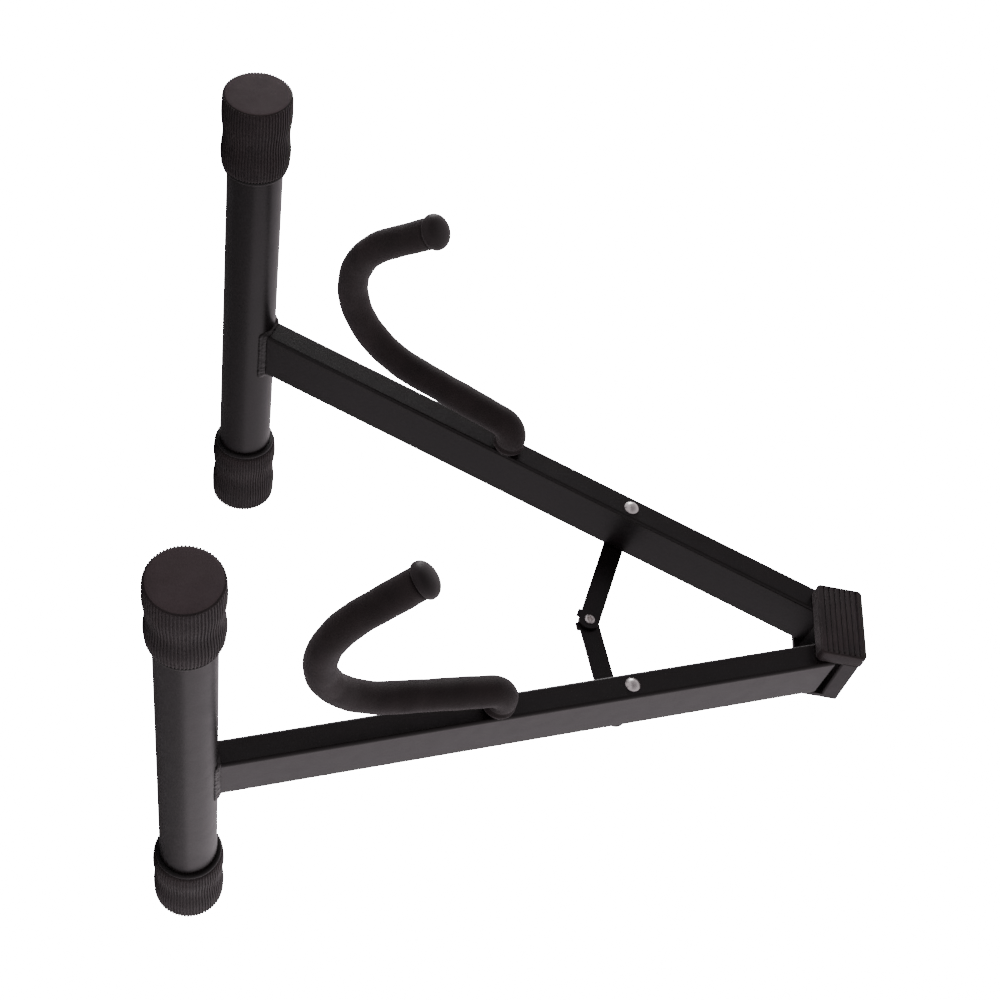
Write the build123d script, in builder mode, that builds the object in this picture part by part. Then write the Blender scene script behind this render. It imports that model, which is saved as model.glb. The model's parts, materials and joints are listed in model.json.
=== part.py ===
"""Folding A-frame guitar stand: two hinged legs on round feet, padded hooks, an apex fitting and a brace.

+X is to the right of someone facing the stand's hooks, -Y is the side the guitar rests on, +Z is up.
The origin is on the floor, in the middle of the four end caps.
"""

import os
from math import atan, cos, degrees, radians, sin, tan

from build123d import *

# Stance: the angles of the open stand, in degrees
leg_half_angle = 20.8
foot_tilt = 8.4

# Legs, along the centre line from the point where the two centre lines cross
leg_width = 12.7
leg_depth = 25.4
leg_wall = 1.2
leg_corner = 1.5
leg_top = 37.6
leg_top_slant = 3.6
hinge_reach = 42.0
brace_reach = 141.0
hook_reach = 207.2
foot_reach = 344.2

# Feet and their end caps, from the middle of the leg to the outer face of each cap
foot_diameter = 25.4
foot_wall = 1.2
foot_front = 149.4
foot_rear = 112.7
cap_length = 41.0
cap_floor = 3.0
cap_radius = 15.9
cap_waist = 15.4
cap_mouth = 14.2

# Hooks: a bent rod in a foam sleeve. Each hand-set hook has its own toe-in and outward lean
hook_stance = {-1: (1.2, -5.2), 1: (2.3, 3.3)}
rod_diameter = 10.0
sleeve_diameter = 14.2
sleeve_start = 2.2
weld_radius = 6.8
weld_height = 1.3
root_stub = 7.2
root_bend = 9.4
root_turn = 83.1
shank_length = 44.4
curl_radius = 46.7
curl_turn = 124.6
tail_length = 25.5
tip_diameter = 16.4
tip_rim = 2.4
tip_length = 6.8
tip_dome = ((tip_diameter / 2) ** 2 + (tip_length - tip_rim) ** 2) / (2 * (tip_length - tip_rim))
tip_socket = 4.0

# Apex fitting, in distances down from the crossing point of the legs' inner faces
apex_offset = 17.6
block_near = 4.0
block_far = 12.8
block_half = 19.5
front_plate_near = 4.1
front_plate_far = 24.2
front_plate_half = 18.1
rear_plate_far = 25.0
plate_gap = 0.4
front_plate = 1.2
rear_plate = 2.5
pad_near = 2.7
pad_far = 25.2
pad_half = 19.4
pad_front = 7.6
pad_corner = 2.2
pad_edge = 0.9
groove_start = 3.45
groove_pitch = 2.62
groove_width = 1.0
groove_depth = 0.7
groove_count = 7
pin_diameter = 4.0
pin_head = 7.0

# Brace links, rivets and washers, behind the legs
link_width = 10.0
link_thickness = 1.5
link_drop = 12.9
link_gap = 0.3
rivet_diameter = 4.0
rivet_head = 7.3
rivet_dome = 2.0
tail_dome = 1.3
hole_clearance = 0.25
washer_diameter = 9.0
centre_rivet = 3.6
centre_head = 5.2
shoulder_length = 4.0
shoulder_depth = 1.5

# Directions of the stand: down the legs' plane, out of its front, and across it
lean = atan(tan(radians(foot_tilt)) * cos(radians(leg_half_angle)))
down = Vector(0, -sin(lean), -cos(lean))
front = Vector(0, -cos(lean), sin(lean))
across = Vector(1, 0, 0)

# The crossing point of the legs' centre lines, in the plane of the legs' front faces
toe_out = radians(foot_tilt) * sin(radians(leg_half_angle))
crossing_drop = foot_reach * cos(radians(leg_half_angle))
crossing_y = (
    (foot_front - foot_rear) / 2 * cos(toe_out)
    + crossing_drop * sin(lean)
    - leg_depth / 2 * cos(lean)
)
crossing_z = cap_radius + crossing_drop * cos(lean) + leg_depth / 2 * sin(lean)
crossing = Vector(0, crossing_y, crossing_z)
apex = crossing + down * apex_offset

SIDES = (("left", -1), ("right", 1))


def save(builder, name):
    """Label the finished sub-part and write its STEP file."""
    builder.part.label = name
    export_step(builder.part, f"parts/{name}.step")


def leg_line(sign):
    """Direction down the centre line of one leg."""
    angle = radians(leg_half_angle)
    return down * cos(angle) + across * (sign * sin(angle))


def leg_point(sign, reach, height):
    """Point on a leg's centre line, at a height in front of the leg's front face."""
    return crossing + leg_line(sign) * reach + front * height


def foot_line(sign):
    """Direction forward along one foot tube."""
    tilt = radians(foot_tilt)
    return front * cos(tilt) + leg_line(sign) * sin(tilt)


def foot_plane(sign, travel, flip=1):
    """Plane square to a foot tube at a distance along it, facing forward or, flipped, backward."""
    origin = leg_point(sign, foot_reach, -leg_depth / 2) + foot_line(sign) * travel
    return Plane(origin=origin, x_dir=across, z_dir=foot_line(sign) * flip)


def apex_plane(height):
    """Plane of the apex fitting: x down the legs, y across, z out of the front."""
    return Plane(origin=apex + front * height, x_dir=down, z_dir=front)


def hook_plane(sign):
    """Plane of one hook's bends: x down the leg, y out of its front face, both turned by its stance."""
    outward = front.cross(leg_line(sign)) * sign
    toe_in, side_lean = (radians(angle) for angle in hook_stance[sign])
    run = leg_line(sign) * cos(toe_in) - outward * sin(toe_in)
    sideways = outward * cos(toe_in) + leg_line(sign) * sin(toe_in)
    rise = front * cos(side_lean) + sideways * sin(side_lean)
    return Plane(origin=leg_point(sign, hook_reach, 0), x_dir=run, z_dir=run.cross(rise))


def hook_path(start):
    """Centre line of a hook from a height in its straight root, drawn in the active line builder."""
    root = Line((0, start), (0, root_stub))
    bend = JernArc(start=root @ 1, tangent=root % 1, radius=root_bend, arc_size=-root_turn)
    shank = Line(bend @ 1, bend @ 1 + (bend % 1) * shank_length)
    curl = JernArc(start=shank @ 1, tangent=shank % 1, radius=curl_radius, arc_size=curl_turn)
    return Line(curl @ 1, curl @ 1 + (curl % 1) * tail_length)


# Brace geometry: each link runs from its leg's rivet to the centre rivet
half_angle = radians(leg_half_angle)
rivet_drop = brace_reach * cos(half_angle)
rivet_across = brace_reach * sin(half_angle)
link_angle = atan(link_drop / rivet_across)
link_length = rivet_across / cos(link_angle)
link_levels = {-1: leg_depth + link_gap, 1: leg_depth + 2 * link_gap + link_thickness}
brace_centre = crossing + down * (rivet_drop + link_drop)


def link_plane(sign, height):
    """Plane of one brace link at a height in front of the legs: x from its leg's rivet to the centre."""
    run = down * sin(link_angle) - across * (sign * cos(link_angle))
    return Plane(origin=leg_point(sign, brace_reach, height), x_dir=run, z_dir=front)


os.makedirs("parts", exist_ok=True)

for side, sign in SIDES:
    # Rectangular leg tube, coped at its lower end onto the foot tube
    section = Plane(
        origin=leg_point(sign, leg_top, -leg_depth / 2), x_dir=front, z_dir=leg_line(sign)
    )
    slant = radians(leg_top_slant)
    top_cut = Plane(
        origin=leg_point(sign, leg_top, 0),
        z_dir=leg_line(sign) * cos(slant) + front * sin(slant),
    )
    with BuildPart() as leg_tube:
        with BuildSketch(section):
            RectangleRounded(leg_depth, leg_width, leg_corner)
            RectangleRounded(
                leg_depth - 2 * leg_wall,
                leg_width - 2 * leg_wall,
                leg_corner - leg_wall,
                mode=Mode.SUBTRACT,
            )
        extrude(amount=foot_reach - leg_top)
        with BuildSketch(foot_plane(sign, -leg_depth)):
            Circle(foot_diameter / 2)
        extrude(amount=2 * leg_depth, mode=Mode.SUBTRACT)
        split(bisect_by=top_cut, keep=Keep.TOP)
        for reach, diameter in ((hinge_reach, pin_diameter), (brace_reach, rivet_diameter)):
            with BuildSketch(Plane(origin=leg_point(sign, reach, 1), x_dir=down, z_dir=front)):
                Circle(diameter / 2 + (hole_clearance if reach == hinge_reach else 0))
            extrude(amount=-leg_depth - 2, mode=Mode.SUBTRACT)
    save(leg_tube, f"{side}_leg_tube")

    # Rough weld collar round the leg where it stands on the foot tube
    with BuildPart() as foot_weld:
        seat = Plane(
            origin=leg_point(sign, foot_reach, -leg_depth / 2), x_dir=front, z_dir=-leg_line(sign)
        )
        with BuildSketch(seat):
            RectangleRounded(leg_depth + 6.4, leg_width + 6.4, leg_corner + 3)
        extrude(amount=foot_diameter / 2 + 2.4, taper=10)
        with BuildSketch(seat):
            RectangleRounded(leg_depth, leg_width, leg_corner)
        extrude(amount=foot_diameter, mode=Mode.SUBTRACT)
        with BuildSketch(foot_plane(sign, -leg_depth)):
            Circle(foot_diameter / 2)
        extrude(amount=2 * leg_depth, mode=Mode.SUBTRACT)
    save(foot_weld, f"{side}_foot_weld")

    # Round foot tube
    with BuildPart() as foot_tube:
        with BuildSketch(foot_plane(sign, -foot_rear + cap_floor)):
            Circle(foot_diameter / 2)
            Circle(foot_diameter / 2 - foot_wall, mode=Mode.SUBTRACT)
        extrude(amount=foot_front + foot_rear - 2 * cap_floor)
    save(foot_tube, f"{side}_foot_tube")

    # Rubber end caps: two soft swellings with a waist between, and a tapered mouth
    for end, travel, flip in (("front", foot_front, 1), ("rear", -foot_rear, -1)):
        outer_face = foot_plane(sign, travel, flip)
        half_section = Plane(
            origin=outer_face.origin, x_dir=outer_face.x_dir, z_dir=-outer_face.y_dir
        )
        with BuildPart() as end_cap:
            with BuildSketch(half_section):
                with BuildLine():
                    inner = Polyline(
                        (cap_mouth, -cap_length),
                        (foot_diameter / 2, -cap_length),
                        (foot_diameter / 2, -cap_floor),
                        (0, -cap_floor),
                        (0, 0),
                        (cap_radius - 1.4, 0),
                        (cap_radius - 0.7, -0.7),
                    )
                    Spline(
                        inner @ 1,
                        (cap_radius, -0.24 * cap_length),
                        (cap_waist, -0.52 * cap_length),
                        (cap_radius - 0.1, -0.76 * cap_length),
                        (cap_mouth + 0.8, -0.95 * cap_length),
                        inner @ 0,
                    )
                make_face()
            revolve(axis=Axis(outer_face.origin, outer_face.z_dir))
        save(end_cap, f"{side}_{end}_cap")

    # Hook rod, its weld, foam sleeve and tip plug
    bends = hook_plane(sign)
    with BuildPart() as hook_rod:
        with BuildLine(bends) as rod_path:
            tail = hook_path(0)
            Line(tail @ 1, tail @ 1 + (tail % 1) * tip_socket)
        with BuildSketch(Plane(origin=rod_path.wire() @ 0, z_dir=rod_path.wire() % 0)):
            Circle(rod_diameter / 2)
        sweep()
    save(hook_rod, f"{side}_hook_rod")

    root_face = Plane(origin=bends.origin, x_dir=leg_line(sign), z_dir=front)
    with BuildPart() as hook_weld:
        with BuildSketch(root_face):
            Circle(weld_radius)
        extrude(amount=weld_height, taper=40)
        with BuildSketch(Plane(origin=bends.origin - bends.y_dir * rod_diameter, z_dir=bends.y_dir)):
            Circle(rod_diameter / 2)
        extrude(amount=2 * rod_diameter, mode=Mode.SUBTRACT)
    save(hook_weld, f"{side}_hook_weld")

    with BuildPart() as hook_sleeve:
        with BuildLine(bends) as sleeve_path:
            hook_path(sleeve_start)
        with BuildSketch(Plane(origin=sleeve_path.wire() @ 0, z_dir=sleeve_path.wire() % 0)):
            Circle(sleeve_diameter / 2)
            Circle(rod_diameter / 2, mode=Mode.SUBTRACT)
        sweep()
    save(hook_sleeve, f"{side}_hook_sleeve")

    tip_end = sleeve_path.wire() @ 1
    tip_run = sleeve_path.wire() % 1
    with BuildPart() as hook_tip:
        with BuildSketch(Plane(origin=tip_end, x_dir=bends.z_dir, z_dir=bends.z_dir.cross(tip_run))):
            with BuildLine():
                Polyline(
                    (0, tip_length),
                    (0, tip_socket),
                    (rod_diameter / 2, tip_socket),
                    (rod_diameter / 2, 0),
                    (tip_diameter / 2 - 0.5, 0),
                    (tip_diameter / 2, 0.5),
                    (tip_diameter / 2, tip_rim),
                )
                RadiusArc((tip_diameter / 2, tip_rim), (0, tip_length), -tip_dome)
            make_face()
        revolve(axis=Axis(tip_end, tip_run))
    save(hook_tip, f"{side}_hook_tip")

    # Hinge pin through the apex fitting's plates, its head behind
    with BuildPart() as hinge_pin:
        with BuildSketch(
            Plane(origin=leg_point(sign, hinge_reach, plate_gap + front_plate), x_dir=down, z_dir=front)
        ):
            Circle(pin_diameter / 2)
        extrude(amount=-(leg_depth + 2 * plate_gap + front_plate + rear_plate))
        with BuildSketch(
            Plane(
                origin=leg_point(sign, hinge_reach, -leg_depth - plate_gap - rear_plate),
                x_dir=down,
                z_dir=front,
            )
        ):
            Circle(pin_head / 2)
        extrude(amount=-tail_dome)
        fillet(hinge_pin.faces().sort_by(Axis(crossing, -front))[-1].edges(), radius=0.9)
    save(hinge_pin, f"{side}_hinge_pin")

    # Brace rivet: domed head on the leg's front face, tail head behind its link
    level = link_levels[sign]
    with BuildPart() as brace_rivet:
        shank = Plane(origin=leg_point(sign, brace_reach, 0), x_dir=down, z_dir=front)
        with BuildSketch(shank):
            Circle(rivet_head / 2)
        extrude(amount=rivet_dome)
        fillet(brace_rivet.faces().sort_by(Axis(crossing, front))[-1].edges(), radius=1.7)
        with BuildSketch(shank):
            Circle(rivet_diameter / 2)
        extrude(amount=-(level + link_thickness + link_gap))
        with BuildSketch(shank.offset(-(level + link_thickness + link_gap))):
            Circle(rivet_head / 2)
        extrude(amount=-tail_dome)
        fillet(brace_rivet.faces().sort_by(Axis(crossing, -front))[-1].edges(), radius=0.9)
    save(brace_rivet, f"{side}_brace_rivet")

    # Washer between the leg's rear face and its link
    with BuildPart() as brace_washer:
        with BuildSketch(shank.offset(-leg_depth)):
            Circle(washer_diameter / 2)
            Circle(rivet_diameter / 2, mode=Mode.SUBTRACT)
        extrude(amount=-(level - leg_depth - 0.1))
    save(brace_washer, f"{side}_brace_washer")

    # Flat link with round ends and a square shoulder that stops the brace straightening
    with BuildPart() as brace_link:
        with BuildSketch(link_plane(sign, -level)):
            with Locations((link_length / 2, 0)):
                SlotCenterToCenter(link_length, link_width)
            with Locations((link_length - shoulder_length / 2, sign * link_width / 2)):
                Rectangle(shoulder_length, 2 * shoulder_depth)
            with Locations((0, 0)):
                Circle(rivet_diameter / 2 + hole_clearance, mode=Mode.SUBTRACT)
            with Locations((link_length, 0)):
                Circle(centre_rivet / 2, mode=Mode.SUBTRACT)
        extrude(amount=-link_thickness)
    save(brace_link, f"brace_link_{side}")

# Centre rivet of the brace, in two halves so that the open pivot of the linkage stays free
with BuildPart() as centre_head_rivet:
    top = Plane(origin=brace_centre - front * link_levels[-1], x_dir=down, z_dir=front)
    with BuildSketch(top):
        Circle(centre_head / 2)
        Circle(centre_rivet / 4, mode=Mode.SUBTRACT)
    extrude(amount=1.2)
    fillet(centre_head_rivet.faces().sort_by(Axis(crossing, front))[-1].edges(), radius=0.4)
    with BuildSketch(top):
        Circle(centre_rivet / 2)
    extrude(amount=-link_thickness)
save(centre_head_rivet, "brace_centre_rivet")

with BuildPart() as centre_tail_rivet:
    low = Plane(origin=brace_centre - front * link_levels[1], x_dir=down, z_dir=front)
    with BuildSketch(low):
        Circle(centre_rivet / 2)
    extrude(amount=-link_thickness)
    with BuildSketch(low.offset(-link_thickness)):
        Circle(centre_head / 2)
    extrude(amount=-tail_dome)
    fillet(centre_tail_rivet.faces().sort_by(Axis(crossing, -front))[-1].edges(), radius=0.9)
save(centre_tail_rivet, "brace_centre_tail")

# Apex fitting: an end block with a plate in front of the legs and one behind them
pin_spots = [
    (hinge_reach * cos(half_angle) - apex_offset, sign * hinge_reach * sin(half_angle))
    for side, sign in SIDES
]
rear_face = leg_depth + plate_gap + rear_plate
with BuildPart() as apex_bracket:
    with BuildSketch(apex_plane(-rear_face)):
        with Locations(((block_near + rear_plate_far) / 2, 0)):
            RectangleRounded(rear_plate_far - block_near, 2 * block_half, 1.5)
    extrude(amount=rear_plate)
    with BuildSketch(apex_plane(-rear_face)):
        with Locations(((block_near + block_far) / 2, 0)):
            RectangleRounded(block_far - block_near, 2 * block_half, 1.2)
    extrude(amount=rear_face + plate_gap)
    with BuildSketch(apex_plane(plate_gap)):
        with Locations(((front_plate_near + front_plate_far) / 2, 0)):
            Rectangle(front_plate_far - front_plate_near, 2 * front_plate_half)
    extrude(amount=front_plate)
    with BuildSketch(apex_plane(plate_gap + front_plate)):
        with Locations(*pin_spots):
            Circle(pin_diameter / 2)
    extrude(amount=-(rear_face + plate_gap + front_plate), mode=Mode.SUBTRACT)
save(apex_bracket, "apex_bracket")

# Rubber pad over the front plate: grooved face, plain band toward the feet, walls round the plate
with BuildPart() as apex_pad:
    with BuildSketch(apex_plane(plate_gap)):
        with Locations(((pad_near + pad_far) / 2, 0)):
            RectangleRounded(pad_far - pad_near, 2 * pad_half, pad_corner)
    extrude(amount=pad_front - plate_gap)
    fillet(apex_pad.faces().sort_by(Axis(apex, front))[-1].edges(), radius=pad_edge)
    with BuildSketch(apex_plane(plate_gap)):
        with Locations(((front_plate_near + front_plate_far) / 2, 0)):
            Rectangle(front_plate_far - front_plate_near, 2 * front_plate_half)
    extrude(amount=front_plate, mode=Mode.SUBTRACT)
    with BuildSketch(apex_plane(pad_front)):
        for groove in range(groove_count):
            with Locations((pad_near + groove_start + groove * groove_pitch, 0)):
                Rectangle(groove_width, 2 * pad_half - 2 * pad_edge)
    extrude(amount=-groove_depth, mode=Mode.SUBTRACT)
save(apex_pad, "apex_pad")
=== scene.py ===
"""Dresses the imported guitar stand.

Adds its ribbed rubber caps, foam-covered hooks, welds, pad, paint and bright rivets.
"""

from __future__ import annotations

import json
import logging
import math
import random
import sys
from dataclasses import dataclass, field
from enum import Enum
from typing import Callable, Iterable, Sequence

import bmesh
import bpy
from mathutils import Matrix, Vector


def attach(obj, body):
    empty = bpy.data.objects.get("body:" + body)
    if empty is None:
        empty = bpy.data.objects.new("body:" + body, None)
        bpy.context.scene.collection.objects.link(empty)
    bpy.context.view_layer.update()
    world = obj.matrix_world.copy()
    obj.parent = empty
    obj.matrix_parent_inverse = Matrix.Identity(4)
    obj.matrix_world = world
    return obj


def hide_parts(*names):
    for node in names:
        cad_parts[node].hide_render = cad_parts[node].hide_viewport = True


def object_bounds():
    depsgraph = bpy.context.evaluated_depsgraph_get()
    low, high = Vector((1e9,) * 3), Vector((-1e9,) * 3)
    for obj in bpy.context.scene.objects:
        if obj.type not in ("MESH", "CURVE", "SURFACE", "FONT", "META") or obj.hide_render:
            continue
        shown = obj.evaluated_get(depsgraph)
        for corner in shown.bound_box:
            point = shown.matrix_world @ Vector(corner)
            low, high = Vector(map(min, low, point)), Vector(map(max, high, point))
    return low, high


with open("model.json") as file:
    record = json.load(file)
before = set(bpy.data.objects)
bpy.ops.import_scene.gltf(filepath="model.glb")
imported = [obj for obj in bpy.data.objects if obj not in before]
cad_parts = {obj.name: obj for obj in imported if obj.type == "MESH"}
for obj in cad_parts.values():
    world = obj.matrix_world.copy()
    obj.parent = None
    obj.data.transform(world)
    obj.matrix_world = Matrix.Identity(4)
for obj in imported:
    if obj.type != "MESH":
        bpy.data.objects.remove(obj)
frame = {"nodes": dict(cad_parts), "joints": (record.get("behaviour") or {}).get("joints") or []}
CAD_LOW, CAD_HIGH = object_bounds()

LOG = logging.getLogger("guitar_stand")
MM = 0.001
ACROSS = Vector((1, 0, 0))
WHITE = (1, 1, 1, 1)
BLACK = (0, 0, 0, 1)
CRISP_EDGE = 50.0
SOFT_EDGE = 60.0
RIB_EDGE = 70.0
WELD_EDGE = 80.0
RIB_SIDES = 6
DROP_SUBDIVISIONS = 2


class Side(Enum):
    """The two halves of the stand, with the sign of their place along X."""

    LEFT = ("left", -1)
    RIGHT = ("right", 1)

    @property
    def word(self) -> str:
        """Name used in node and body names."""
        return self.value[0]

    @property
    def sign(self) -> int:
        """Sign of this side along X."""
        return self.value[1]


class End(Enum):
    """The two ends of a foot tube."""

    FRONT = ("front", 1, 149.4)
    REAR = ("rear", -1, 112.7)

    @property
    def word(self) -> str:
        """Name used in node names."""
        return self.value[0]

    @property
    def sign(self) -> int:
        """Direction of this end along the foot's own line."""
        return self.value[1]

    @property
    def travel(self) -> float:
        """Distance in millimetres from the leg's middle to the cap's outer face."""
        return self.value[2]


# ---------------------------------------------------------------- stand geometry


@dataclass(frozen=True)
class Stance:
    """Directions and datum points of the open stand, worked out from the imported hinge.

    Angles are in degrees and lengths in millimetres.
    """

    half_angle: float = 20.8
    foot_tilt: float = 8.4
    hinge_reach: float = 42.0
    hook_reach: float = 207.2
    foot_reach: float = 344.2
    leg_depth: float = 25.4
    leg_width: float = 12.7
    apex_offset: float = 17.6

    @property
    def front(self) -> Vector:
        """Unit vector out of the legs' front faces."""
        return Vector(frame["joints"][0]["axis"]).normalized()

    @property
    def down(self) -> Vector:
        """Unit vector down the plane of the legs."""
        return ACROSS.cross(self.front)

    def leg_line(self, side: Side) -> Vector:
        """Unit vector down one leg's centre line."""
        angle = math.radians(self.half_angle)
        return self.down * math.cos(angle) + ACROSS * (side.sign * math.sin(angle))

    def outward(self, side: Side) -> Vector:
        """Unit vector out of one leg's outer side face."""
        return self.front.cross(self.leg_line(side)) * side.sign

    @property
    def crossing(self) -> Vector:
        """Point where the legs' centre lines cross, in the plane of their front faces.

        Returns:
            The point, in metres.
        """
        hinge = Vector(frame["joints"][0]["pos_m"])
        run = self.leg_line(Side.LEFT) * self.hinge_reach * MM
        return hinge - run + self.front * (self.leg_depth / 2 * MM)

    def leg_point(self, side: Side, reach: float, height: float, sideways: float = 0.0) -> Vector:
        """Point on a leg.

        Args:
            side: which leg.
            reach: millimetres down the centre line from the crossing point.
            height: millimetres in front of the front face.
            sideways: millimetres outward from the centre line.

        Returns:
            The point in metres.
        """
        place = self.leg_line(side) * reach + self.front * height + self.outward(side) * sideways
        return self.crossing + place * MM

    def foot_line(self, side: Side) -> Vector:
        """Unit vector forward along one foot tube."""
        tilt = math.radians(self.foot_tilt)
        return self.front * math.cos(tilt) + self.leg_line(side) * math.sin(tilt)

    def foot_centre(self, side: Side) -> Vector:
        """Point on a foot tube's axis at its leg."""
        return self.leg_point(side, self.foot_reach, -self.leg_depth / 2)

    def apex_point(self, drop: float, sideways: float, height: float) -> Vector:
        """Point of the apex fitting, in millimetres down, across and in front of the legs."""
        place = self.down * (self.apex_offset + drop) + ACROSS * sideways + self.front * height
        return self.crossing + place * MM


STANCE = Stance()


def frame_matrix(origin: Vector, x_axis: Vector, y_axis: Vector, z_axis: Vector) -> Matrix:
    """Matrix that carries local millimetres to metres at an origin with the given unit axes."""
    turn = Matrix((x_axis, y_axis, z_axis)).transposed().to_4x4()
    return Matrix.Translation(origin) @ turn @ Matrix.Scale(MM, 4)


def axis_matrix(origin: Vector, z_axis: Vector, hint: Vector) -> Matrix:
    """Matrix with its Z along an axis and its X near a hint direction.

    Args:
        origin: the matrix's place.
        z_axis: direction of its Z.
        hint: direction that its X comes near.

    Returns:
        The matrix, with all axes at right angles.
    """
    z_axis = z_axis.normalized()
    y_axis = z_axis.cross(hint).normalized()
    return frame_matrix(origin, y_axis.cross(z_axis), y_axis, z_axis)


# ---------------------------------------------------------------- node trees


class Wire:
    """A socket on which Python arithmetic adds Math nodes."""

    def __init__(self, graph: "Graph", socket: bpy.types.NodeSocket) -> None:
        """Wrap one output socket of a graph."""
        self.graph = graph
        self.socket = socket

    def _math(self, operation: str, first: object, second: object, clamp: bool = False) -> "Wire":
        """Add one Math node and return its result.

        Args:
            operation: the node's operation.
            first: a Wire, socket or number.
            second: a Wire, socket or number.
            clamp: whether the result is kept between nought and one.

        Returns:
            The result.
        """
        made = self.graph.node(
            "ShaderNodeMath", {"operation": operation, "use_clamp": clamp}, {0: first, 1: second}
        )
        return Wire(self.graph, made.outputs[0])

    def __add__(self, other: object) -> "Wire":
        """Sum."""
        return self._math("ADD", self, other)

    def __radd__(self, other: object) -> "Wire":
        """Sum with a number on the left."""
        return self._math("ADD", other, self)

    def __sub__(self, other: object) -> "Wire":
        """Difference."""
        return self._math("SUBTRACT", self, other)

    def __rsub__(self, other: object) -> "Wire":
        """Difference with a number on the left."""
        return self._math("SUBTRACT", other, self)

    def __mul__(self, other: object) -> "Wire":
        """Product."""
        return self._math("MULTIPLY", self, other)

    def __rmul__(self, other: object) -> "Wire":
        """Product with a number on the left."""
        return self._math("MULTIPLY", other, self)

    def clamped(self) -> "Wire":
        """The value kept between nought and one."""
        return self._math("ADD", self, 0.0, clamp=True)


class Graph:
    """A node tree with one way to add any node."""

    def __init__(self, tree: bpy.types.NodeTree) -> None:
        """Start on an empty tree."""
        self.tree = tree
        tree.nodes.clear()

    def node(
        self, kind: str, settings: dict | None = None, inputs: dict | None = None
    ) -> bpy.types.Node:
        """Add a node, set its properties, then its sockets.

        Args:
            kind: the node's type name.
            settings: properties set before the sockets.
            inputs: socket name or number to a value, a socket or a Wire.

        Returns:
            The new node.
        """
        made = self.tree.nodes.new(kind)
        for name, value in (settings or {}).items():
            setattr(made, name, value)
        for key, value in (inputs or {}).items():
            self.plug(value, made.inputs[key])
        return made

    def plug(self, value: object, socket: bpy.types.NodeSocket) -> None:
        """Link a Wire or socket into a socket, or set its value.

        Args:
            value: a Wire, a socket, or a value for the socket.
            socket: the input that takes it.
        """
        if isinstance(value, Wire):
            value = value.socket
        if isinstance(value, bpy.types.NodeSocket):
            self.tree.links.new(value, socket)
        else:
            socket.default_value = value

    def wire(self, node: bpy.types.Node, name: str | int = 0) -> Wire:
        """Wrap one output of a node."""
        return Wire(self, node.outputs[name])


class ShaderGraph(Graph):
    """A material's tree with the patterns that the finishes share."""

    def __init__(self, name: str) -> None:
        """Create a material and its empty tree.

        Args:
            name: the material's name.
        """
        self.material = bpy.data.materials.new(name)
        self.material.use_nodes = True
        super().__init__(self.material.node_tree)
        self.place = self.wire(self.node("ShaderNodeTexCoord"), "Object")

    def noise(
        self, scale: float, detail: float = 3.0, stretch: Sequence[float] | None = None
    ) -> Wire:
        """Noise on Object coordinates.

        Args:
            scale: cells per metre.
            detail: octaves.
            stretch: optional scale along each axis.

        Returns:
            A value around one half.
        """
        place: object = self.place
        if stretch is not None:
            sockets = {"Vector": self.place, "Scale": tuple(stretch)}
            mapping = self.node("ShaderNodeMapping", {}, sockets)
            place = self.wire(mapping, "Vector")
        sockets = {"Vector": place, "Scale": scale, "Detail": detail}
        made = self.node("ShaderNodeTexNoise", {}, sockets)
        return self.wire(made, "Fac")

    def cells(self, scale: float) -> Wire:
        """Distance to the nearest of scattered points, for cell and grain patterns."""
        made = self.node("ShaderNodeTexVoronoi", {}, {"Vector": self.place, "Scale": scale})
        return self.wire(made, "Distance")

    def ramp(self, factor: Wire, stops: Sequence[tuple[float, Sequence[float]]]) -> Wire:
        """Colour ramp through (position, colour) stops.

        Args:
            factor: pattern that picks the colour.
            stops: two or more stops, in rising order.

        Returns:
            The colour.
        """
        made = self.node("ShaderNodeValToRGB", {}, {"Fac": factor})
        ramp = made.color_ramp
        for index, (position, colour) in enumerate(stops):
            stop = ramp.elements[index] if index < 2 else ramp.elements.new(position)
            stop.position = position
            stop.color = (*colour, 1.0)
        return self.wire(made, "Color")

    def blend(self, factor: object, first: object, second: object) -> Wire:
        """Mix two colours by a factor.

        Args:
            factor: share of the second colour.
            first: a colour or a Wire.
            second: a colour or a Wire.

        Returns:
            The mixed colour.
        """
        made = self.node("ShaderNodeMix", {"data_type": "RGBA"})
        self.plug(factor, made.inputs["Factor"])
        for value, socket in ((first, made.inputs[6]), (second, made.inputs[7])):
            self.plug((*value, 1.0) if isinstance(value, tuple) else value, socket)
        return Wire(self, made.outputs[2])

    def bump(self, height: Wire, strength: float, distance: float) -> Wire:
        """Bump from a height pattern, with its distance in metres.

        Args:
            height: the pattern.
            strength: share of the full effect.
            distance: height of the pattern, in metres.

        Returns:
            The bumped normal.
        """
        made = self.node(
            "ShaderNodeBump", {}, {"Height": height, "Strength": strength, "Distance": distance}
        )
        return self.wire(made, "Normal")

    def surface(self, linked: dict, fixed: dict) -> bpy.types.Material:
        """Finish with one Principled surface.

        Args:
            linked: sockets that vary over the surface.
            fixed: sockets that are the same all over.

        Returns:
            The finished material.
        """
        shader = self.node("ShaderNodeBsdfPrincipled", {}, {**fixed, **linked})
        output = self.node("ShaderNodeOutputMaterial")
        self.tree.links.new(shader.outputs[0], output.inputs[0])
        return self.material


# ---------------------------------------------------------------- finishes


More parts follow.
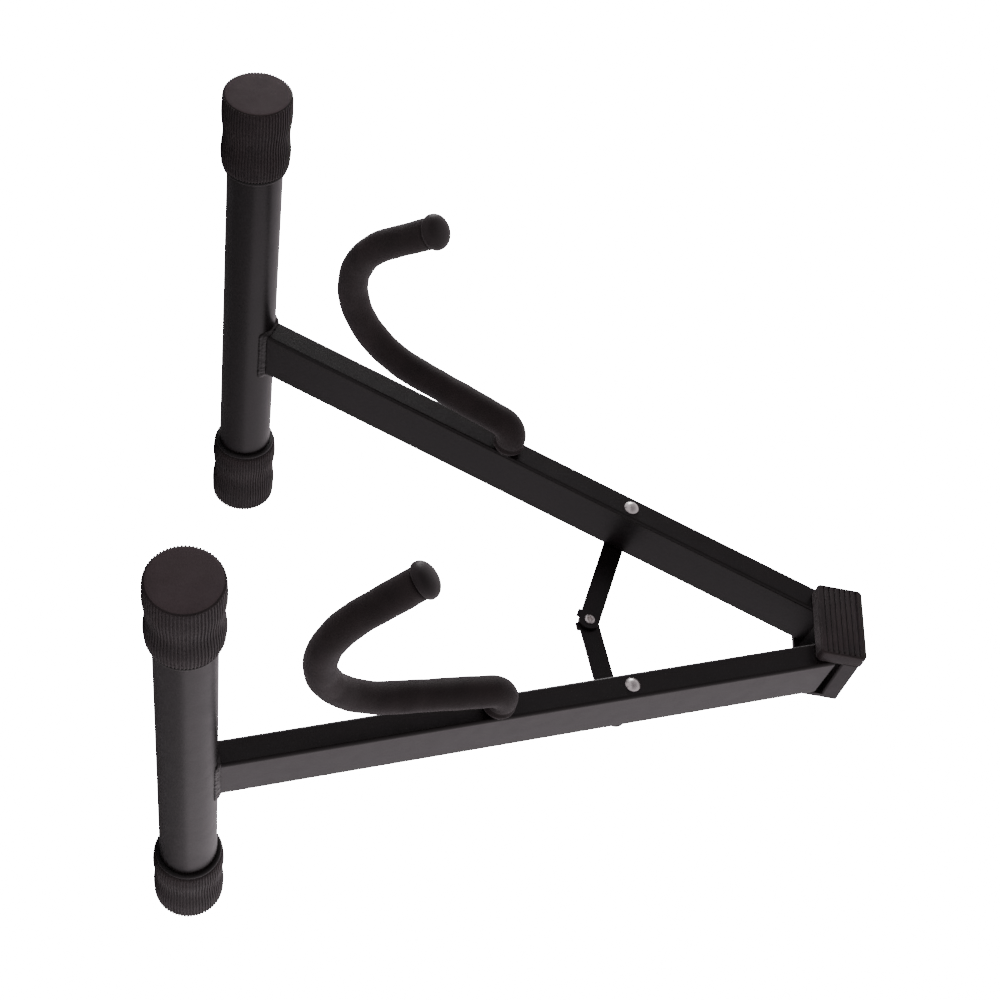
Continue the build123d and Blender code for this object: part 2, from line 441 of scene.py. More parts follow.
@dataclass(frozen=True)
class PowderCoat:
    """Satin black powder coat on steel, with orange peel, handling marks and rubbed spots."""

    name: str = "satin_powder_coat"
    dark: tuple = (0.0044, 0.0027, 0.0031)
    light: tuple = (0.0076, 0.005, 0.0058)
    rub: tuple = (0.016, 0.0125, 0.0132)
    roughness: float = 0.36
    peel_per_metre: float = 900.0

    def build(self) -> bpy.types.Material:
        """Build the material.

        Returns:
            The material.
        """
        graph = ShaderGraph(self.name)
        mottle = graph.noise(38, 4)
        colour = graph.ramp(mottle, ((0.35, self.dark), (0.68, self.light)))
        marks = graph.noise(60, 2, (1.0, 0.6, 14.0))
        worn = ((marks - 0.66) * 7.0).clamped() * 0.35
        colour = graph.blend(worn, colour, self.rub)
        rough = graph.noise(140, 3) * 0.12 + (self.roughness - 0.06) + worn * 0.12
        peel = graph.noise(self.peel_per_metre, 2)
        normal = graph.bump(peel, 0.22, 0.00012)
        return graph.surface(
            {"Base Color": colour, "Roughness": rough, "Normal": normal},
            {"Specular IOR Level": 0.5, "Coat Weight": 0.0},
        )


@dataclass(frozen=True)
class MouldedRubber:
    """Moulded black rubber with a brown-grey bloom, fine grain and dust."""

    name: str = "moulded_rubber"
    dark: tuple = (0.016, 0.011, 0.0115)
    bloom: tuple = (0.036, 0.025, 0.026)
    roughness: float = 0.62
    grain: float = 0.25
    sheen: float = 0.12

    def build(self) -> bpy.types.Material:
        """Build the material.

        Returns:
            The material.
        """
        graph = ShaderGraph(self.name)
        cloud = graph.noise(70, 5)
        colour = graph.ramp(cloud, ((0.3, self.dark), (0.7, self.bloom)))
        dust = ((graph.noise(1500, 1) - 0.7) * 8.0).clamped() * 0.25
        colour = graph.blend(dust, colour, (0.09, 0.08, 0.075))
        rough = graph.noise(220, 3) * 0.18 + (self.roughness - 0.09)
        height = graph.noise(1800, 3) + graph.noise(420, 2) * 0.8
        normal = graph.bump(height, self.grain, 0.00015)
        return graph.surface(
            {"Base Color": colour, "Roughness": rough, "Normal": normal},
            {"Sheen Weight": self.sheen, "Sheen Roughness": 0.5, "Specular IOR Level": 0.42},
        )


@dataclass(frozen=True)
class FoamSkin:
    """Fine-celled black foam sleeve with a dull skin, soft scuffs and painted shade darkening its
    pore pits.
    """

    name: str = "foam_sleeve"
    dark: tuple = (0.0145, 0.0096, 0.01)
    light: tuple = (0.029, 0.02, 0.0205)
    roughness: float = 0.7

    def build(self) -> bpy.types.Material:
        """Build the material.

        Returns:
            The material.
        """
        graph = ShaderGraph(self.name)
        scuff = graph.noise(55, 4, (1.0, 1.0, 1.6))
        colour = graph.ramp(scuff, ((0.32, self.dark), (0.72, self.light)))
        # Painted shade: the colour is darkened in the small pits of the foam's cell pattern.
        pore_shade = (0.34 - graph.cells(2300)).clamped() * 2.0
        colour = graph.blend(pore_shade.clamped() * 0.6, colour, (0.006, 0.005, 0.005))
        rough = graph.noise(300, 3) * 0.14 + (self.roughness - 0.07)
        height = graph.cells(2300) * 0.7 + graph.noise(700, 3)
        normal = graph.bump(height, 0.4, 0.0002)
        return graph.surface(
            {"Base Color": colour, "Roughness": rough, "Normal": normal},
            {"Sheen Weight": 0.18, "Sheen Roughness": 0.45, "Specular IOR Level": 0.35},
        )


@dataclass(frozen=True)
class BrightRivet:
    """Bright plated steel with fine turning and small scratches."""

    name: str = "bright_rivet"
    colour: tuple = (0.96, 0.94, 0.92)
    shade: tuple = (0.78, 0.76, 0.74)
    roughness: float = 0.24

    def build(self) -> bpy.types.Material:
        """Build the material.

        Returns:
            The material.
        """
        graph = ShaderGraph(self.name)
        colour = graph.blend(graph.noise(900, 4), self.shade, self.colour)
        rough = graph.noise(1600, 3) * 0.2 + (self.roughness - 0.05)
        normal = graph.bump(graph.noise(2600, 2, (1.0, 1.0, 3.0)), 0.2, 0.00005)
        return graph.surface(
            {"Base Color": colour, "Roughness": rough, "Normal": normal}, {"Metallic": 1.0}
        )


@dataclass(frozen=True)
class MouldedPlastic:
    """Moulded black plastic, satin, with a fine spark-eroded grain."""

    name: str = "moulded_plastic"
    dark: tuple = (0.009, 0.0068, 0.0076)
    light: tuple = (0.0165, 0.0128, 0.0142)
    roughness: float = 0.45

    def build(self) -> bpy.types.Material:
        """Build the material.

        Returns:
            The material.
        """
        graph = ShaderGraph(self.name)
        colour = graph.ramp(graph.noise(90, 4), ((0.3, self.dark), (0.7, self.light)))
        rough = graph.noise(260, 3) * 0.14 + (self.roughness - 0.07)
        normal = graph.bump(graph.noise(2600, 2) + graph.cells(1900) * 0.4, 0.25, 0.00008)
        return graph.surface({"Base Color": colour, "Roughness": rough, "Normal": normal}, {})


class Finish(Enum):
    """The stand's finishes, each with the record's material slot that it shows."""

    PAINT = ("frame_paint", PowderCoat())
    WELD = (
        "frame_paint",
        PowderCoat("painted_weld", (0.0038, 0.0024, 0.0026), (0.0075, 0.0052, 0.0056)),
    )
    RUBBER = ("cap_rubber", MouldedRubber())
    # Lighter copy of the cap rubber for the end faces: painted light, as if the faces were lit.
    LIT_RUBBER_FACE = (
        "cap_rubber",
        MouldedRubber("rubber_end_face_painted_light", (0.078, 0.06, 0.0625), (0.1, 0.078, 0.081), 0.8),
    )
    # Darker, smoother copy of the cap rubber for the mouth lip: its darker colour is painted shade
    # where the lip meets the tube.
    SHADED_RUBBER_LIP = (
        "cap_rubber",
        MouldedRubber("rubber_lip_painted_shade", (0.006, 0.0055, 0.0055), (0.011, 0.0098, 0.0098), 0.5),
    )
    TIP = (
        "tip_rubber",
        MouldedRubber("hook_tip_rubber", (0.013, 0.009, 0.0095), (0.025, 0.0175, 0.018), 0.5, 0.12),
    )
    FOAM = ("foam", FoamSkin())
    RIVET = ("rivet_steel", BrightRivet())
    PLASTIC = ("fitting", MouldedPlastic())
    WASHER = ("washer", MouldedPlastic("nylon_washer"))

    @property
    def slot(self) -> str:
        """The record's material slot."""
        return self.value[0]

    @property
    def material(self) -> bpy.types.Material:
        """The finish's material, built the first time it is asked for."""
        found = bpy.data.materials.get(self.value[1].name)
        return found or self.value[1].build()


# ---------------------------------------------------------------- mesh tools


class MeshShop:
    """Makes and finishes meshes that stand at their place, with their object at the origin."""

    @staticmethod
    def from_rings(rings: Sequence[Sequence[Vector]], caps: bool = True) -> bmesh.types.BMesh:
        """Skin a run of closed rings that have the same number of points.

        Args:
            rings: points of each ring in order.
            caps: close both ends with a face.

        Returns:
            A bmesh with outward faces.
        """
        made = bmesh.new()
        rows = [[made.verts.new(point) for point in ring] for ring in rings]
        count = len(rows[0])
        for low, high in zip(rows, rows[1:]):
            for index in range(count):
                after = (index + 1) % count
                made.faces.new((low[index], low[after], high[after], high[index]))
        if caps:
            made.faces.new(list(reversed(rows[0])))
            made.faces.new(rows[-1])
        bmesh.ops.recalc_face_normals(made, faces=made.faces[:])
        return made

    @staticmethod
    def lathe(profile: Sequence[tuple[float, float]], segments: int) -> bmesh.types.BMesh:
        """Turn a closed or axis-to-axis outline of (radius, height) points about Z.

        Args:
            profile: points in order; a radius of nought makes a pole.
            segments: steps round the axis.

        Returns:
            A closed bmesh.
        """
        made = bmesh.new()
        rows: list[list[bmesh.types.BMVert]] = []
        for radius, height in profile:
            if radius < 1e-6:
                rows.append([made.verts.new((0, 0, height))])
                continue
            angles = (2 * math.pi * step / segments for step in range(segments))
            ring = ((radius * math.cos(a), radius * math.sin(a), height) for a in angles)
            rows.append([made.verts.new(point) for point in ring])
        closed = len(rows[0]) > 1 and len(rows[-1]) > 1
        pairs = list(zip(rows, rows[1:])) + ([(rows[-1], rows[0])] if closed else [])
        for low, high in pairs:
            for step in range(segments):
                after = (step + 1) % segments
                corners = [low[step % len(low)], low[after % len(low)]]
                corners += [high[after % len(high)], high[step % len(high)]]
                unique = list(dict.fromkeys(corners))
                if len(unique) > 2:
                    made.faces.new(unique)
        bmesh.ops.recalc_face_normals(made, faces=made.faces[:])
        return made

    @staticmethod
    def finish(
        mesh: bmesh.types.BMesh | bpy.types.Mesh,
        name: str,
        place: Matrix,
        finish: Finish,
        smooth_degrees: float = 40.0,
    ) -> bpy.types.Object:
        """Make an object at the origin from a mesh in local millimetres.

        Args:
            mesh: the shape.
            name: the object's name.
            place: matrix from local millimetres to metres in the stand.
            finish: the finish it takes.
            smooth_degrees: edges sharper than this stay crisp.

        Returns:
            The object, linked to the scene.
        """
        if isinstance(mesh, bmesh.types.BMesh):
            data = bpy.data.meshes.new(name)
            mesh.to_mesh(data)
            mesh.free()
        else:
            data = mesh
        data.transform(place)
        if not data.materials:
            data.materials.append(finish.material)
        piece = bpy.data.objects.new(name, data)
        bpy.context.scene.collection.objects.link(piece)
        data.shade_smooth()
        data.set_sharp_from_angle(angle=math.radians(smooth_degrees))
        return piece

    @staticmethod
    def join(first: bpy.types.Object, *others: bpy.types.Object) -> bpy.types.Object:
        """Join objects into the first one, keeping each part's material.

        Args:
            first: the object that takes the rest.
            others: objects that are used up.

        Returns:
            The first object.
        """
        with bpy.context.temp_override(
            active_object=first, object=first, selected_editable_objects=[first, *others]
        ):
            bpy.ops.object.join()
        return first

    @staticmethod
    def softened(node: str, name: str, finish: Finish, bevel: float) -> bpy.types.Object:
        """Copy a CAD node, merge it and round its edges a little.

        Args:
            node: the CAD node's name.
            name: the new piece's name.
            finish: the finish it takes.
            bevel: width of the rounding in millimetres.

        Returns:
            The new piece, with its modifier live.
        """
        work = bmesh.new()
        work.from_mesh(frame["nodes"][node].data)
        bmesh.ops.remove_doubles(work, verts=work.verts[:], dist=2e-6)
        bmesh.ops.dissolve_limit(
            work, angle_limit=math.radians(0.6), verts=work.verts[:], edges=work.edges[:]
        )
        data = bpy.data.meshes.new(name)
        work.to_mesh(data)
        work.free()
        piece = MeshShop.finish(data, name, Matrix.Identity(4), finish)
        edge = piece.modifiers.new("soft_edges", "BEVEL")
        edge.width = bevel * MM
        edge.segments = 2
        edge.limit_method = "ANGLE"
        edge.angle_limit = math.radians(50)
        edge.harden_normals = True
        return piece


# ---------------------------------------------------------------- geometry nodes


class Grower:
    """A Geometry Nodes tree applied once to a starting mesh and turned into a plain mesh."""

    def __init__(self, name: str, inputs: Sequence[tuple[str, str, object]]) -> None:
        """Open a tree.

        Args:
            name: the tree's name.
            inputs: (name, socket type, default) of each size the tree takes.
        """
        self.tree = bpy.data.node_groups.new(name, "GeometryNodeTree")
        for way in ("INPUT", "OUTPUT"):
            self.tree.interface.new_socket(
                "Geometry", in_out=way, socket_type="NodeSocketGeometry"
            )
        self.names: dict[str, str] = {}
        for label, kind, value in inputs:
            socket = self.tree.interface.new_socket(label, in_out="INPUT", socket_type=kind)
            if value is not None:
                socket.default_value = value
            self.names[label] = socket.identifier
        self.graph = Graph(self.tree)
        self.source = self.graph.node("NodeGroupInput")

    def given(self, name: str) -> bpy.types.NodeSocket:
        """Socket of one of the tree's inputs."""
        return self.source.outputs[name]

    def close(self, geometry: bpy.types.NodeSocket) -> None:
        """End the tree in Realize Instances and Set Material.

        Args:
            geometry: the tree's finished geometry.
        """
        real = self.graph.node("GeometryNodeRealizeInstances", {}, {"Geometry": geometry})
        sockets = {"Geometry": real.outputs[0], "Material": self.given("Material")}
        dressed = self.graph.node("GeometryNodeSetMaterial", {}, sockets)
        self.graph.node("NodeGroupOutput", {}, {0: dressed.outputs[0]})

    def grow(self, start: bpy.types.Mesh, finish: Finish, **sizes: object) -> bpy.types.Mesh:
        """Run the tree on a starting mesh.

        Args:
            start: the mesh that the tree takes.
            finish: finish of the result.
            sizes: values of the tree's inputs by name, with spaces as underscores.

        Returns:
            A plain mesh in the starting mesh's own units.
        """
        holder = bpy.data.objects.new("grower", start)
        bpy.context.scene.collection.objects.link(holder)
        modifier = holder.modifiers.new("grow", "NODES")
        modifier.node_group = self.tree
        modifier[self.names["Material"]] = finish.material
        for name, value in sizes.items():
            modifier[self.names[name.replace("_", " ")]] = value
        bpy.context.view_layer.update()
        seen = holder.evaluated_get(bpy.context.evaluated_depsgraph_get())
        made = bpy.data.meshes.new_from_object(seen)
        holder.modifiers.clear()
        bpy.data.objects.remove(holder)
        return made


def rib_ring_tree() -> Grower:
    """Ribs that follow a profile line and repeat round the Z axis.

    Returns:
        The tree, ready to grow meshes.
    """
    grower = Grower(
        "rib_ring",
        (
            ("Ribs", "NodeSocketInt", 62),
            ("Rib Radius", "NodeSocketFloat", 0.5),
            ("Material", "NodeSocketMaterial", None),
        ),
    )
    graph = grower.graph
    line = graph.node("GeometryNodeMeshToCurve", {}, {"Mesh": grower.given("Geometry")})
    sockets = {"Resolution": RIB_SIDES, "Radius": grower.given("Rib Radius")}
    section = graph.node("GeometryNodeCurvePrimitiveCircle", {}, sockets)
    rib = graph.node(
        "GeometryNodeCurveToMesh",
        {},
        {"Curve": line.outputs[0], "Profile Curve": section.outputs[0], "Fill Caps": True},
    )
    spots = graph.node("GeometryNodePoints", {}, {"Count": grower.given("Ribs")})
    index = graph.wire(graph.node("GeometryNodeInputIndex"))
    sockets = {0: 2 * math.pi, 1: grower.given("Ribs")}
    step = graph.node("ShaderNodeMath", {"operation": "DIVIDE"}, sockets)
    angle = index * graph.wire(step)
    turn = graph.node("ShaderNodeCombineXYZ", {}, {"Z": angle})
    copies = graph.node(
        "GeometryNodeInstanceOnPoints",
        {},
        {"Points": spots.outputs[0], "Instance": rib.outputs[0], "Rotation": turn.outputs[0]},
    )
    grower.close(copies.outputs[0])
    return grower


def weld_bead_tree() -> Grower:
    """Overlapping drops of weld metal along a line, each a little different.

    Returns:
        The tree, ready to grow meshes.
    """
    grower = Grower(
        "weld_bead",
        (
            ("Spacing", "NodeSocketFloat", 1.0),
            ("Drop Radius", "NodeSocketFloat", 1.3),
            ("Seed", "NodeSocketInt", 3),
            ("Material", "NodeSocketMaterial", None),
        ),
    )
    graph = grower.graph
    line = graph.node("GeometryNodeMeshToCurve", {}, {"Mesh": grower.given("Geometry")})
    spots = graph.node(
        "GeometryNodeCurveToPoints",
        {"mode": "LENGTH"},
        {"Curve": line.outputs[0], "Length": grower.given("Spacing")},
    )
    sockets = {"Radius": grower.given("Drop Radius"), "Subdivisions": DROP_SUBDIVISIONS}
    drop = graph.node("GeometryNodeMeshIcoSphere", {}, sockets)
    size = graph.node(
        "FunctionNodeRandomValue",
        {"data_type": "FLOAT_VECTOR"},
        {0: (0.8, 0.7, 0.75), 1: (1.2, 1.15, 1.1), "Seed": grower.given("Seed")},
    )
    turn = graph.node(
        "FunctionNodeRandomValue",
        {"data_type": "FLOAT_VECTOR"},
        {0: (0.0, 0.0, 0.0), 1: (6.28, 6.28, 6.28), "Seed": grower.given("Seed")},
    )
    copies = graph.node(
        "GeometryNodeInstanceOnPoints",
        {},
        {
            "Points": spots.outputs["Points"],
            "Instance": drop.outputs["Mesh"],
            "Rotation": turn.outputs[0],
            "Scale": size.outputs[0],
        },
    )
    grower.close(copies.outputs[0])
    return grower


def rib_row_tree() -> Grower:
    """Copies of a rib in a straight row along X.

    Returns:
        The tree, ready to grow meshes.
    """
    grower = Grower(
        "rib_row",
        (
            ("Ribs", "NodeSocketInt", 8),
            ("Pitch", "NodeSocketFloat", 1.95),
            ("Material", "NodeSocketMaterial", None),
        ),
    )
    graph = grower.graph
    step = graph.node("ShaderNodeCombineXYZ", {}, {"X": grower.given("Pitch")})
    row = graph.node(
        "GeometryNodeMeshLine", {}, {"Count": grower.given("Ribs"), "Offset": step.outputs[0]}
    )
    copies = graph.node(
        "GeometryNodeInstanceOnPoints",
        {},
        {"Points": row.outputs[0], "Instance": grower.given("Geometry")},
    )
    grower.close(copies.outputs[0])
    return grower


def line_mesh(name: str, points: Iterable[Sequence[float]], closed: bool = False) -> bpy.types.Mesh:
    """A mesh of edges through points, as a start for a tree.

    Args:
        name: the mesh's name.
        points: places of its vertices, in order.
        closed: whether an edge joins the last point to the first.

    Returns:
        The mesh.
    """
    points = [tuple(point) for point in points]
    edges = [(index, index + 1) for index in range(len(points) - 1)]
    if closed:
        edges.append((len(points) - 1, 0))
    made = bpy.data.meshes.new(name)
    made.from_pydata(points, edges, [])
    return made


# ---------------------------------------------------------------- pieces


def settle(piece: bpy.types.Object, body: str, finish: Finish, *nodes: str) -> bpy.types.Object:
    """Args:
        piece: the finished piece.
        body: body that it moves with.
        finish: its main finish, which names the record's slot; not used.
        nodes: CAD nodes that it stands for.

    Returns:
        The piece.
    """
    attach(piece, body)
    if nodes:
        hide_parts(*nodes)
    LOG.info("%s: %d faces on %s", piece.name, len(piece.data.polygons), body)
    return piece


def keep_cad(finish: Finish, *nodes: str) -> None:
    """Give CAD nodes whose shapes are right their finish.

    Args:
        finish: the finish for every slot.
        nodes: names of the CAD nodes that stay.
    """
    for name in nodes:
        node = frame["nodes"][name]
        if not node.material_slots:
            node.data.materials.append(finish.material)
        for slot in node.material_slots:
            slot.material = finish.material
        LOG.info("%s: kept with %s", name, finish.material.name)


def paint_faces(data: bpy.types.Mesh, finish: Finish, wanted: Callable[[Vector], bool]) -> None:
    """Give a finish to the faces whose centres pass a test.

    Args:
        data: the mesh, which gains one material.
        finish: the finish for those faces.
        wanted: test of a face's centre.
    """
    data.materials.append(finish.material)
    index = len(data.materials) - 1
    for face in data.polygons:
        if wanted(face.center):
            face.material_index = index


def smooth_path(knots: Sequence[tuple[float, float]], step: float) -> list[tuple[float, float]]:
    """Cosine-eased line through (place, value) knots.

    Args:
        knots: rising places with their values.
        step: largest gap between the returned places.

    Returns:
        (place, value) pairs from the first knot to the last.
    """
    line: list[tuple[float, float]] = []
    for (start, low), (end, high) in zip(knots, knots[1:]):
        count = max(1, math.ceil((end - start) / step))
        for index in range(count):
            part = index / count
            eased = (1 - math.cos(math.pi * part)) / 2
            line.append((start + (end - start) * part, low + (high - low) * eased))
    return line + [knots[-1]]


@dataclass
class FootCap:
    """Rubber cap on a foot tube: two swellings, fine ribs, nibs at the rim and a smooth lip.

    Profiles are (radius, height) points and knots are (depth, radius), in millimetres.
    """

    side: Side
    end: End
    ribs: int = 68
    rib_radius: float = 0.46
    rib_depth: float = 0.5
    floor: float = 3.0
    bore: float = 12.72
    segments: int = 120
    knots: tuple = (
        (0.7, 15.2), (2.6, 15.7), (9.8, 15.9), (21.0, 15.05), (31.5, 15.85), (37.6, 15.45)
    )
    face_profile: tuple = (
        (0, 0), (5, 0), (9.5, 0), (13.6, -0.02), (14.4, -0.12), (14.85, -0.42), (15.02, -0.85)
    )
    lip_profile: tuple = (
        (14.7, -38.2), (14.2, -38.7), (14.15, -38.9), (14.5, -39.15), (14.65, -39.6),
        (14.55, -40.3), (14.15, -40.8), (13.5, -41.0),
    )
    bore_heights: tuple = (-40.9, -30, -18)
    bore_floor_radius: float = 6.0
    body_step: float = 1.6
    rib_step: float = 2.2
    rib_tip: tuple = (14.92, 0.0, -0.42)
    rib_tail: tuple = ((14.5, 0.0, -38.3), (13.8, 0.0, -38.8))
    face_radius: float = 14.7
    face_depth: float = 0.2
    lip_depth: float = 38.4

    @property
    def place(self) -> Matrix:
        """Matrix from the cap's own millimetres, with Z out of its end face."""
        run = STANCE.foot_line(self.side) * self.end.sign
        return axis_matrix(STANCE.foot_centre(self.side) + run * self.end.travel * MM, run, ACROSS)

    def body(self) -> bmesh.types.BMesh:
        """Turned body under the ribs, with its end face, mouth lip and bore.

        Returns:
            The turned body, about its own Z axis.
        """
        swellings = smooth_path(self.knots, self.body_step)[2:]
        outline = list(self.face_profile)
        outline += [(radius - self.rib_depth, -place) for place, radius in swellings]
        outline += self.lip_profile
        outline += [(self.bore, height) for height in (*self.bore_heights, -self.floor)]
        outline += [(self.bore_floor_radius, -self.floor), (0, -self.floor)]
        return MeshShop.lathe(outline, self.segments)

    def rib_line(self) -> list[tuple[float, float, float]]:
        """Centre line of one rib, dipping into the body at the mouth.

        Returns:
            Points from the end face to the mouth, in millimetres.
        """
        swellings = smooth_path(self.knots, self.rib_step)[1:]
        points = [(radius - self.rib_radius, 0.0, -place) for place, radius in swellings]
        return [self.rib_tip, *points, *self.rib_tail]

    def build(self, tree: Grower) -> bpy.types.Object:
        """Build and settle the cap.

        Args:
            tree: the rib ring tree.

        Returns:
            The cap.
        """
        corner = f"{self.side.word}_{self.end.word}"
        name = f"{corner}_ribbed_cap"
        shell = MeshShop.finish(self.body(), name, Matrix.Identity(4), Finish.RUBBER, CRISP_EDGE)
        # The end faces take a lighter copy of the rubber: painted light, as if lit.
        paint_faces(
            shell.data,
            Finish.LIT_RUBBER_FACE,
            lambda spot: spot.z > -self.face_depth and spot.to_2d().length < self.face_radius,
        )
        # The mouth lip takes a darker copy of the rubber: painted shade where the cap meets the
        # tube.
        paint_faces(shell.data, Finish.SHADED_RUBBER_LIP, lambda spot: spot.z < -self.lip_depth)
        rib = tree.grow(
            line_mesh("cap_rib", self.rib_line()),
            Finish.RUBBER,
            Ribs=self.ribs,
            Rib_Radius=self.rib_radius,
        )
        ribs = MeshShop.finish(rib, "cap_ribs", Matrix.Identity(4), Finish.RUBBER, RIB_EDGE)
        cap = MeshShop.join(shell, ribs)
        cap.data.transform(self.place)
        cap.data.update()
        return settle(cap, f"{self.side.word}_leg", Finish.RUBBER, f"{corner}_cap")


@dataclass
class FootTube:
    """Round foot tube, turned so that its long reflections run clean."""

    side: Side
    outer: float = 12.7
    wall: float = 1.2
    edge: float = 0.15
    inset: float = 3.0
    segments: int = 128

    def build(self) -> bpy.types.Object:
        """Build and settle the tube.

        Returns:
            The tube.
        """
        high, low = End.FRONT.travel - self.inset, self.inset - End.REAR.travel
        inner, edge = self.outer - self.wall, self.edge
        outline = [(inner, low), (self.outer - edge, low), (self.outer, low + edge)]
        outline += [(self.outer, high - edge), (self.outer - edge, high), (inner, high)]
        place = axis_matrix(STANCE.foot_centre(self.side), STANCE.foot_line(self.side), ACROSS)
        turned = MeshShop.lathe(outline, self.segments)
        tube = MeshShop.finish(turned, f"{self.side.word}_round_foot", place, Finish.PAINT)
        return settle(tube, f"{self.side.word}_leg", Finish.PAINT, f"{self.side.word}_foot_tube")


@dataclass
class FootWeld:
    """Rough fillet weld where a leg's coped end stands on its foot tube."""

    side: Side
    rows: tuple = ((0.7, 12.9, 1.25), (1.6, 12.6, 0.95), (0.2, 13.6, 0.85))
    spacing: float = 0.6
    voxel: float = 0.28
    corner: float = 1.6

    def outline(self, offset: float) -> list[tuple[float, float]]:
        """Rounded outline round the leg at an offset, as (depth, sideways) points.

        Args:
            offset: distance out from the leg's faces, in millimetres.

        Returns:
            The points, once round.
        """
        half_depth = STANCE.leg_depth / 2 + offset - self.corner
        half_width = STANCE.leg_width / 2 + offset - self.corner
        points: list[tuple[float, float]] = []
        for quarter, (depth, width) in enumerate(((1, 1), (-1, 1), (-1, -1), (1, -1))):
            for step in range(5):
                angle = math.radians(90 * quarter + 22.5 * step)
                points.append(
                    (
                        depth * half_depth + self.corner * math.cos(angle),
                        width * half_width + self.corner * math.sin(angle),
                    )
                )
        return points

    def seat(self, depth: float, sideways: float, radius: float) -> Vector:
        """Point at a radius from the foot tube's axis, in millimetres from the foot's centre.

        Args:
            depth: distance in front of the centre.
            sideways: distance outward from the centre.
            radius: distance from the tube's axis.

        Returns:
            The point, before it is moved to the foot.
        """
        tilt = math.radians(STANCE.foot_tilt)
        rise = math.sqrt(radius**2 - sideways**2)
        height = (rise - depth * math.sin(tilt)) / math.cos(tilt)
        flat = STANCE.front * depth + STANCE.outward(self.side) * sideways
        return flat - STANCE.leg_line(self.side) * height

    def build(self, tree: Grower) -> bpy.types.Object:
        """Build and settle the weld.

        Args:
            tree: the weld bead tree.

        Returns:
            The weld.
        """
        beads: list[bpy.types.Object] = []
        for index, (offset, radius, drop) in enumerate(self.rows):
            path = [self.seat(depth, sideways, radius) for depth, sideways in self.outline(offset)]
            grown = tree.grow(
                line_mesh("bead_path", path, closed=True),
                Finish.WELD,
                Spacing=self.spacing,
                Drop_Radius=drop,
                Seed=11 * (index + 1) + self.side.sign,
            )
            beads.append(MeshShop.finish(grown, f"bead_{index}", Matrix.Identity(4), Finish.WELD))
        blob = MeshShop.join(beads[0], *beads[1:])
        fuse = blob.modifiers.new("fuse", "REMESH")
        fuse.mode = "VOXEL"
        fuse.voxel_size = self.voxel
        even = blob.modifiers.new("even", "SMOOTH")
        even.iterations = 9
        even.factor = 0.5
        bpy.context.view_layer.update()
        seen = blob.evaluated_get(bpy.context.evaluated_depsgraph_get())
        fused = bpy.data.meshes.new_from_object(seen)
        bpy.data.objects.remove(blob)
        fused.materials.clear()
        place = Matrix.Translation(STANCE.foot_centre(self.side)) @ Matrix.Scale(MM, 4)
        name = f"{self.side.word}_foot_weld_bead"
        weld = MeshShop.finish(fused, name, place, Finish.WELD, WELD_EDGE)
        return settle(weld, f"{self.side.word}_leg", Finish.WELD, f"{self.side.word}_foot_weld")


